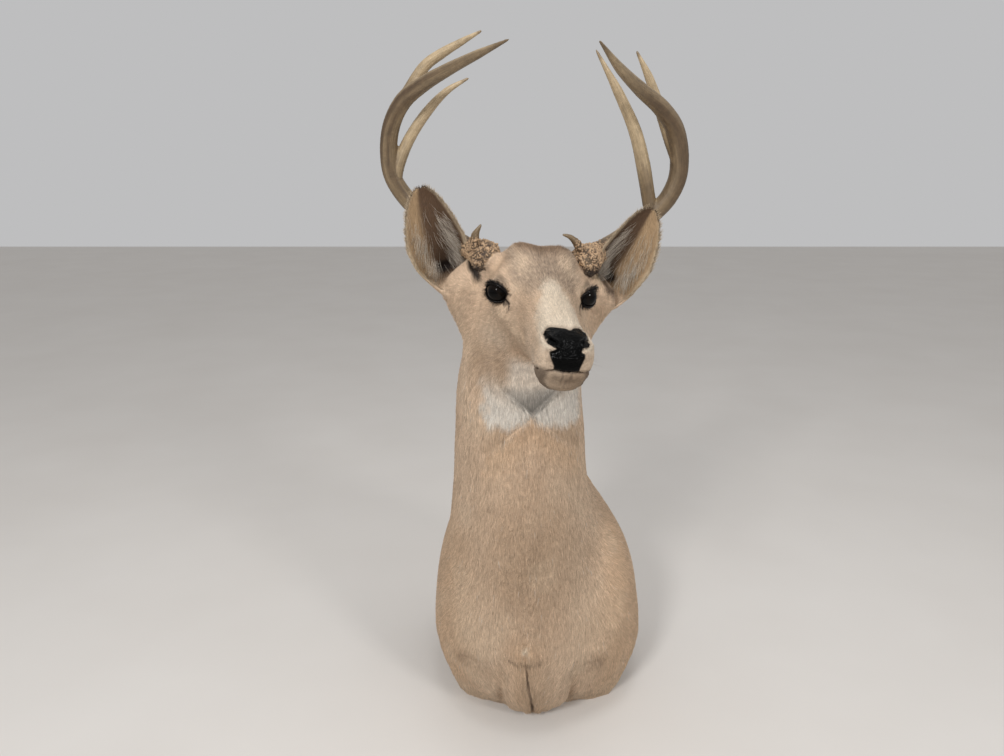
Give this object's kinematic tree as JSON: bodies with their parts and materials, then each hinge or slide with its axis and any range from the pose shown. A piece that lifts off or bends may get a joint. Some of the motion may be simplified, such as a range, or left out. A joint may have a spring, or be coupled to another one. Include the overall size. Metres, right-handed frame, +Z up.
{
  "type": "deer shoulder mount",
  "caption": "Taxidermy shoulder mount of a whitetail buck: head with antlers, neck and chest on a flat wooden backboard that hangs on a wall.",
  "frame": {"origin": "centre height of the wooden backboard, on its wall face", "axes": "+X towards the buck's left side, +Y into the wall, +Z up; the nose points along -Y"},
  "size_m": [0.4122, 0.4559, 0.9543],
  "materials": {
    "hide": "short tan deer coat with a white throat patch, muzzle and chin",
    "ear_hide": "thin furred skin with pale hair inside",
    "nose": "black, finely pebbled and glossy",
    "eye_glass": "black-brown glass eye, glossy",
    "antler": "brown bone, ridged, pearled near the base and polished at the tips",
    "board_wood": "plain flat board"
  },
  "bodies": {
    "root": {"backboard": "board_wood", "trunk": "hide", "foreleg_stump_left": "hide", "foreleg_stump_right": "hide", "neck": "hide", "head": "hide", "lower_jaw": "hide", "nose_pad": "nose", "eye_left": "eye_glass", "eye_right": "eye_glass", "ear_left": "ear_hide", "ear_right": "ear_hide", "antler_left_base": "antler", "antler_left_middle": "antler", "antler_left_tip": "antler", "antler_left_brow_tine": "antler", "antler_left_second_tine": "antler", "antler_left_third_tine": "antler", "antler_right_base": "antler", "antler_right_middle": "antler", "antler_right_tip": "antler", "antler_right_brow_tine": "antler", "antler_right_second_tine": "antler", "antler_right_third_tine": "antler"}
  },
  "joints": []
}
